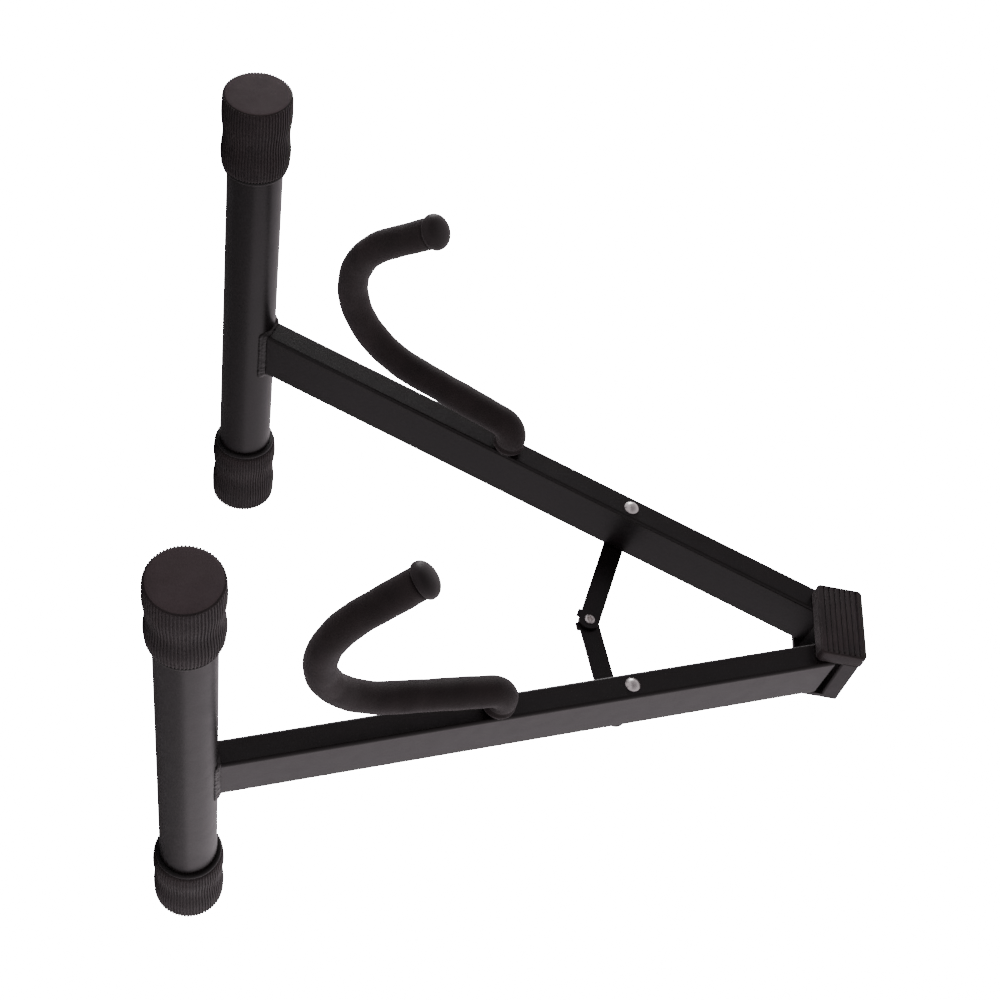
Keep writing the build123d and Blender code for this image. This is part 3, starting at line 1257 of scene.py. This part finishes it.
@dataclass
class Hook:
    """One bent hook: foam sleeve on its rod, rubber tip plug and the weld at its root."""

    side: Side
    toe_in: float
    side_lean: float
    root_stub: float = 7.2
    root_bend: float = 9.4
    root_turn: float = 83.1
    shank: float = 44.4
    curl_radius: float = 46.7
    curl_turn: float = 124.6
    tail: float = 25.5
    rod_radius: float = 5.02
    sleeve_radius: float = 7.1
    sleeve_start: float = 2.2
    tip_radius: float = 8.2
    tip_length: float = 6.8
    sides: int = 56
    ring_step: float = 0.9
    lumps: tuple = ((0.07, 0.23, 2), (0.05, 0.51, -1))
    root_rings: tuple = ((0.55, 1.3, 1.1), (-0.5, 3.4, 0.7))
    crease_centre: float = 11.5
    crease_width: float = 5.0
    crease_depth: float = 0.35
    crease_wave: float = 0.3
    crease_pitch: float = 2.1
    bead_points: int = 36
    bead_ring: float = 5.55
    bead_lift: float = 0.35
    bead_spacing: float = 1.0
    bead_drop: float = 0.95
    edge_length: float = 1.1
    edge_depth: float = 0.75

    @property
    def axes(self) -> tuple[Vector, Vector]:
        """Unit vectors of the hook's own plane: along the leg, and out of its front face.

        Returns:
            The two vectors.
        """
        outward = STANCE.outward(self.side)
        leg = STANCE.leg_line(self.side)
        toe, lean = math.radians(self.toe_in), math.radians(self.side_lean)
        run = leg * math.cos(toe) - outward * math.sin(toe)
        sideways = outward * math.cos(toe) + leg * math.sin(toe)
        return run, STANCE.front * math.cos(lean) + sideways * math.sin(lean)

    def walk(self) -> list[tuple[float, float, float, float]]:
        """Walk the rod's bends.

        Returns:
            (length, x, y, heading in degrees) at even steps from the sleeve's start.
        """
        x, y, heading, travelled = 0.0, self.sleeve_start, 90.0, 0.0
        found = [(travelled, x, y, heading)]
        root = self.root_bend * math.radians(self.root_turn)
        curl = self.curl_radius * math.radians(self.curl_turn)
        spans = (
            (self.root_stub - self.sleeve_start, 0.0),
            (root, -self.root_turn),
            (self.shank, 0.0),
            (curl, self.curl_turn),
            (self.tail, 0.0),
        )
        for length, turn in spans:
            count = max(2, math.ceil(length / self.ring_step))
            piece = length / count
            chord = piece if not turn else 2 * length / math.radians(abs(turn)) * math.sin(
                math.radians(abs(turn) / count / 2)
            )
            for _ in range(count):
                middle = math.radians(heading + turn / count / 2)
                x, y = x + chord * math.cos(middle), y + chord * math.sin(middle)
                heading += turn / count
                travelled += piece
                found.append((travelled, x, y, heading))
        return found

    def place(self, x: float, y: float) -> Vector:
        """Point of the hook's plane in metres."""
        run, rise = self.axes
        return STANCE.leg_point(self.side, STANCE.hook_reach, 0) + (run * x + rise * y) * MM

    def swell(self, along: float, left: float, angle: float, phases: Sequence[float]) -> float:
        """Sleeve radius in millimetres.

        Args:
            along: distance from the root end.
            left: distance to the tip end.
            angle: place round the sleeve, nought on the inside of the root bend.
            phases: phases of the slow lumps and of the creases.

        Returns:
            The radius.
        """
        radius = self.sleeve_radius
        for (size, pitch, turns), phase in zip(self.lumps, phases):
            radius += size * math.sin(along * pitch + phase + turns * angle)
        for size, centre, width in self.root_rings:
            radius += size * math.exp(-(((along - centre) / width) ** 2))
        inside = max(0.0, math.cos(angle)) ** 2
        bend = math.exp(-(((along - self.crease_centre) / self.crease_width) ** 2))
        wave = self.crease_wave * math.cos(along * self.crease_pitch + phases[2])
        radius -= inside * bend * (self.crease_depth + wave)
        for edge in (along, left):
            if edge < self.edge_length:
                radius -= self.edge_depth * (1 - edge / self.edge_length) ** 2
        return radius

    def sleeve(self) -> bpy.types.Object:
        """Foam sleeve with its bore, slow lumps, root bulge and creases in its tight bend.

        Returns:
            The sleeve.
        """
        steps = self.walk()
        run, rise = self.axes
        across = run.cross(rise)
        rng = random.Random(40 + self.side.sign)
        phases = [rng.uniform(0, 6.28) for _ in range(3)]
        total = steps[-1][0]
        outer: list[list[Vector]] = []
        inner: list[list[Vector]] = []
        for along, x, y, heading in steps:
            centre = self.place(x, y)
            turn = math.radians(heading)
            beside = run * math.sin(turn) - rise * math.cos(turn)
            skin: list[Vector] = []
            bore: list[Vector] = []
            for index in range(self.sides):
                angle = 2 * math.pi * index / self.sides
                ray = beside * math.cos(angle) + across * math.sin(angle)
                skin.append(centre + ray * self.swell(along, total - along, angle, phases) * MM)
                bore.append(centre + ray * self.rod_radius * MM)
            outer.append(skin)
            inner.append(bore)
        rings = outer + inner[::-1] + [outer[0]]
        made = MeshShop.from_rings(rings, caps=False)
        bmesh.ops.remove_doubles(made, verts=made.verts[:], dist=1e-7)
        bmesh.ops.recalc_face_normals(made, faces=made.faces[:])
        piece = MeshShop.finish(
            made, f"{self.side.word}_hook_foam", Matrix.Identity(4), Finish.FOAM, SOFT_EDGE
        )
        settle(piece, f"{self.side.word}_leg", Finish.FOAM, f"{self.side.word}_hook_sleeve")
        return piece

    def tip(self) -> bpy.types.Object:
        """Domed plug with a neck groove, a rolled rim and the socket that takes the rod's end.

        Returns:
            The plug.
        """
        _, x, y, heading = self.walk()[-1]
        run, rise = self.axes
        turn = math.radians(heading)
        along = run * math.cos(turn) + rise * math.sin(turn)
        radius, length = self.tip_radius, self.tip_length
        outline = [(0, 4.02), (self.rod_radius, 4.02), (self.rod_radius, 0.02)]
        outline += [(6.0, 0.02), (6.0, 0.5), (6.5, 0.62), (7.3, 0.66)]
        outline += [(radius - 0.2, 0.85), (radius, 1.35), (radius - 0.04, 2.2)]
        for step in range(1, 9):
            angle = math.radians(90 * step / 9)
            outline.append(
                ((radius - 0.04) * math.cos(angle) ** 0.9, 2.2 + (length - 2.2) * math.sin(angle))
            )
        outline.append((0, length))
        made = MeshShop.lathe(outline, self.sides)
        piece = MeshShop.finish(
            made,
            f"{self.side.word}_hook_plug",
            axis_matrix(self.place(x, y), along, run.cross(rise)),
            Finish.TIP,
            55,
        )
        return settle(piece, f"{self.side.word}_leg", Finish.TIP, f"{self.side.word}_hook_tip")

    def weld(self, tree: Grower) -> bpy.types.Object:
        """Ring of weld where the rod meets the leg's front face.

        Args:
            tree: the weld bead tree.

        Returns:
            The ring.
        """
        circle = [
            (self.bead_ring * math.cos(angle), self.bead_ring * math.sin(angle), self.bead_lift)
            for angle in (2 * math.pi * step / self.bead_points for step in range(self.bead_points))
        ]
        grown = tree.grow(
            line_mesh("root_path", circle, closed=True),
            Finish.WELD,
            Spacing=self.bead_spacing,
            Drop_Radius=self.bead_drop,
            Seed=70 + self.side.sign,
        )
        root = STANCE.leg_point(self.side, STANCE.hook_reach, 0)
        place = axis_matrix(root, STANCE.front, STANCE.leg_line(self.side))
        name = f"{self.side.word}_hook_weld_bead"
        piece = MeshShop.finish(grown, name, place, Finish.WELD, WELD_EDGE)
        return settle(piece, f"{self.side.word}_leg", Finish.WELD, f"{self.side.word}_hook_weld")

    def build(self, tree: Grower) -> None:
        """Build and settle the whole hook.

        Args:
            tree: the weld bead tree.
        """
        self.sleeve()
        self.tip()
        self.weld(tree)
        keep_cad(Finish.PAINT, f"{self.side.word}_hook_rod")


@dataclass
class Brace:
    """The two flat links between the legs, their washers and their bright rivets."""

    reach: float = 141.0
    drop: float = 12.9
    head_radius: float = 3.65
    head_height: float = 2.0
    shank_radius: float = 2.0
    level_left: float = 25.7
    level_right: float = 27.5
    thickness: float = 1.5
    edge_rounding: float = 0.28
    segments: int = 40

    def level(self, side: Side) -> float:
        """Depth of a side's link behind the legs' front faces."""
        return self.level_left if side is Side.LEFT else self.level_right

    def leg_rivet(self, side: Side) -> bpy.types.Object:
        """Domed rivet through a leg and its link, with a peened tail.

        Args:
            side: the leg that it goes through.

        Returns:
            The rivet.
        """
        radius, height = self.head_radius, self.head_height
        tail = -(self.level(side) + self.thickness + 0.1)
        outline = [(0, height), (0.9, height - 0.03), (1.7, height - 0.2), (2.5, height - 0.62)]
        outline += [(3.1, height - 1.15), (radius - 0.15, 0.42), (radius, 0.18)]
        outline += [(radius - 0.05, 0.0), (self.shank_radius, 0.0), (self.shank_radius, tail)]
        outline += [(2.8, tail), (2.9, tail - 0.35)]
        outline += [(2.4, tail - 0.85), (1.4, tail - 1.05), (0, tail - 1.1)]
        seat = STANCE.leg_point(side, self.reach, 0)
        place = axis_matrix(seat, STANCE.front, STANCE.leg_line(side))
        turned = MeshShop.lathe(outline, self.segments)
        piece = MeshShop.finish(
            turned, f"{side.word}_leg_rivet", place, Finish.RIVET, CRISP_EDGE
        )
        return settle(piece, f"{side.word}_leg", Finish.RIVET, f"{side.word}_brace_rivet")

    def centre_point(self) -> Vector:
        """Centre of the brace on the upper link's front face.

        Returns:
            The point, in metres.
        """
        leg_drop = self.reach * math.cos(math.radians(STANCE.half_angle))
        place = STANCE.down * (leg_drop + self.drop) - STANCE.front * self.level_left
        return STANCE.crossing + place * MM

    def centre_rivet(self) -> None:
        """Rolled rivet, its head half on the upper link and its tail half on the lower one."""
        place = axis_matrix(self.centre_point(), STANCE.front, STANCE.down)
        outline = [(0, -0.9), (0.95, -0.9), (1.05, 0.2), (1.25, 0.85), (1.6, 1.15), (2.05, 1.05)]
        outline += [(2.45, 0.7), (2.6, 0.3), (2.55, 0.0), (1.8, 0.0)]
        outline += [(1.8, -self.thickness), (0, -self.thickness)]
        turned = MeshShop.lathe(outline, self.segments)
        head = MeshShop.finish(turned, "brace_rolled_rivet", place, Finish.RIVET, CRISP_EDGE)
        settle(head, "link_left", Finish.RIVET, "brace_centre_rivet")
        low = self.level_left - self.level_right
        base = low - self.thickness
        outline = [(0, low), (1.8, low), (1.8, base), (2.5, base), (2.6, base - 0.35)]
        outline += [(2.3, base - 0.9), (1.3, base - 1.22), (0, base - 1.3)]
        turned = MeshShop.lathe(outline, self.segments)
        foot = MeshShop.finish(turned, "brace_rivet_foot", place, Finish.RIVET, CRISP_EDGE)
        settle(foot, "link_right", Finish.RIVET, "brace_centre_tail")

    def build(self) -> None:
        """Build and settle the brace."""
        for side in Side:
            node = f"brace_link_{side.word}"
            name = f"{side.word}_pressed_link"
            link = MeshShop.softened(node, name, Finish.PAINT, self.edge_rounding)
            settle(link, f"link_{side.word}", Finish.PAINT, node)
            self.leg_rivet(side)
            keep_cad(Finish.WASHER, f"{side.word}_brace_washer")
        self.centre_rivet()


@dataclass
class ApexPad:
    """Rubber pad on the apex fitting: softened body with a row of round ribs across it."""

    front: float = 7.6
    rib_sink: float = 0.32
    edge_rounding: float = 0.18
    rib_stations: tuple = (
        (-1, 0.35), (-0.985, 0.8), (-0.95, 1), (0.95, 1), (0.985, 0.8), (1, 0.35)
    )
    first_rib: float = 7.96
    ribs: int = 6
    pitch: float = 2.62
    rib_half_width: float = 0.8
    rib_height: float = 0.42
    half_length: float = 18.3

    def rib(self) -> bpy.types.Mesh:
        """One half-round rib across the pad with tapered ends.

        Returns:
            The rib's mesh, in metres about its own middle.
        """
        rings: list[list[Vector]] = []
        for place, scale in self.rib_stations:
            ring = [
                Vector(
                    (
                        self.rib_half_width * scale * math.sin(angle),
                        self.half_length * place,
                        self.rib_height * scale * math.cos(angle),
                    )
                )
                for angle in (2 * math.pi * step / 10 for step in range(10))
            ]
            rings.append(ring)
        made = MeshShop.from_rings(rings)
        data = bpy.data.meshes.new("pad_rib")
        made.to_mesh(data)
        made.free()
        return data

    def build(self, tree: Grower) -> bpy.types.Object:
        """Build and settle the pad.

        Args:
            tree: the rib row tree.

        Returns:
            The pad.
        """
        body = MeshShop.softened(
            "apex_pad", "apex_ribbed_pad", Finish.RUBBER, self.edge_rounding
        )
        grown = tree.grow(self.rib(), Finish.RUBBER, Ribs=self.ribs, Pitch=self.pitch)
        start = STANCE.apex_point(self.first_rib, 0, self.front - self.rib_sink)
        place = frame_matrix(start, STANCE.down, ACROSS, STANCE.front)
        ribs = MeshShop.finish(grown, "pad_ribs", place, Finish.RUBBER, SOFT_EDGE)
        return settle(MeshShop.join(body, ribs), "apex", Finish.RUBBER, "apex_pad")


@dataclass
class Studio:
    """Pale seamless surroundings, soft lights and the camera."""

    lens: float = 77.32
    camera_down: float = 0.3562
    camera_across: float = 0.5777
    camera_front: float = 0.7727
    right_hand: tuple = (-0.9681, -0.0324, 0.2485)
    look_line: tuple = (-0.1767, -0.6148, -0.7686)
    floor_size: float = 14.0
    floor_colour: tuple = (0.8, 0.8, 0.8, 1)
    floor_roughness: float = 0.7
    lights: tuple = (
        ("high_light", (0.0, 1.0, -0.5), 1.2, 0.6, 7.0),
        ("side_light", (-1.0, 0.1, -0.25), 1.3, 0.7, 9.0),
    )
    surround: float = 1.12
    front_share: float = 0.16
    tint: tuple = (1.0, 0.9, 0.95, 1.0)
    white: float = 30.0

    def in_row(self, parts: Sequence[float]) -> Vector:
        """Vector from its parts down, across and in front of the legs' plane."""
        return STANCE.down * parts[0] + ACROSS * parts[1] + STANCE.front * parts[2]

    @property
    def axes(self) -> tuple[Vector, Vector, Vector]:
        """The camera's right, up and look vectors.

        Returns:
            The three vectors.
        """
        look = self.in_row(self.look_line).normalized()
        right = self.in_row(self.right_hand)
        right = (right - look * right.dot(look)).normalized()
        return right, right.cross(look), look

    def camera(self) -> None:
        """Stand the camera in front of the stand, turned as the view asks."""
        right, up, look = self.axes
        data = bpy.data.cameras.new("view")
        data.lens = self.lens
        data.sensor_width = 36
        camera = bpy.data.objects.new("view", data)
        turn = Matrix((right, up, -look)).transposed().to_4x4()
        place = STANCE.apex_point(0, 0, 0) + self.in_row(
            (self.camera_down, self.camera_across, self.camera_front)
        )
        camera.matrix_world = Matrix.Translation(place) @ turn
        bpy.context.scene.collection.objects.link(camera)
        bpy.context.scene.camera = camera

    def world(self) -> None:
        """Even pale surroundings, bright where they are seen directly."""
        world = bpy.data.worlds.new("pale_room")
        world.use_nodes = True
        bpy.context.scene.world = world
        graph = Graph(world.node_tree)
        seen = graph.wire(graph.node("ShaderNodeLightPath"), "Is Camera Ray")
        way = graph.node("ShaderNodeTexCoord").outputs["Generated"]
        sockets = {0: way, 1: STANCE.front}
        dot = graph.node("ShaderNodeVectorMath", {"operation": "DOT_PRODUCT"}, sockets)
        behind = 0.5 - graph.wire(dot, "Value") * 0.5
        lit = (behind * (1 - self.front_share) + self.front_share) * self.surround
        strength = seen * (self.white - lit) + lit
        sockets = {0: seen, 6: self.tint, 7: WHITE}
        colour = graph.node("ShaderNodeMix", {"data_type": "RGBA"}, sockets)
        back = graph.node(
            "ShaderNodeBackground", {}, {"Color": colour.outputs[2], "Strength": strength}
        )
        graph.node("ShaderNodeOutputWorld", {}, {"Surface": back.outputs[0]})

    def floor(self) -> None:
        """Plain pale floor under the foot caps."""
        half = self.floor_size / 2
        data = bpy.data.meshes.new("floor")
        corners = [(-half, -half, 0), (half, -half, 0), (half, half, 0), (-half, half, 0)]
        data.from_pydata(corners, [], [(0, 1, 2, 3)])
        floor = bpy.data.objects.new("floor", data)
        bpy.context.scene.collection.objects.link(floor)
        material = bpy.data.materials.new("pale_floor")
        material.use_nodes = True
        graph = Graph(material.node_tree)
        seen = graph.wire(graph.node("ShaderNodeLightPath"), "Is Camera Ray")
        sockets = {0: seen, 6: BLACK, 7: WHITE}
        glow = graph.node("ShaderNodeMix", {"data_type": "RGBA"}, sockets)
        sockets = {
            "Base Color": self.floor_colour,
            "Roughness": self.floor_roughness,
            "Emission Color": glow.outputs[2],
            "Emission Strength": self.white - 1.0,
        }
        shader = graph.node("ShaderNodeBsdfPrincipled", {}, sockets)
        graph.node("ShaderNodeOutputMaterial", {}, {"Surface": shader.outputs[0]})
        data.materials.append(material)

    def light(
        self, name: str, way: Sequence[float], distance: float, size: float, watts: float
    ) -> None:
        """One soft light aimed at the middle of the stand.

        Args:
            name: the light's name.
            way: direction to it as parts along the camera's right, up and backward vectors.
            distance: metres from the stand.
            size: side of the light in metres.
            watts: its power.
        """
        right, up, look = self.axes
        toward = (right * way[0] + up * way[1] - look * way[2]).normalized()
        data = bpy.data.lights.new(name, "AREA")
        data.size = size
        data.energy = watts
        lamp = bpy.data.objects.new(name, data)
        middle = (CAD_LOW + CAD_HIGH) / 2
        lamp.matrix_world = Matrix.Translation(middle + toward * distance) @ toward.to_track_quat(
            "Z", "Y"
        ).to_matrix().to_4x4()
        bpy.context.scene.collection.objects.link(lamp)

    def build(self) -> None:
        """Set the whole studio."""
        self.world()
        self.floor()
        for light in self.lights:
            self.light(*light)
        self.camera()


@dataclass
class Stand:
    """The whole stand, built sub-assembly by sub-assembly."""

    hooks: tuple = ((Side.LEFT, 1.2, -5.2), (Side.RIGHT, 2.3, 3.3))
    studio: Studio = field(default_factory=Studio)

    def build(self) -> None:
        """Build every piece and dress the CAD nodes that stay."""
        ring, bead, row = rib_ring_tree(), weld_bead_tree(), rib_row_tree()
        for side in Side:
            keep_cad(Finish.PAINT, f"{side.word}_leg_tube")
            keep_cad(Finish.RIVET, f"{side.word}_hinge_pin")
            FootTube(side).build()
            FootWeld(side).build(bead)
            for end in End:
                FootCap(side, end).build(ring)
        for side, toe_in, side_lean in self.hooks:
            Hook(side, toe_in, side_lean).build(bead)
        Brace().build()
        keep_cad(Finish.PLASTIC, "apex_bracket")
        ApexPad().build(row)
        self.studio.build()


def main() -> None:
    """Build the stand."""
    logging.basicConfig(level=logging.INFO, format="%(message)s", stream=sys.stdout)
    Stand().build()


if __name__ == "__main__":
    main()
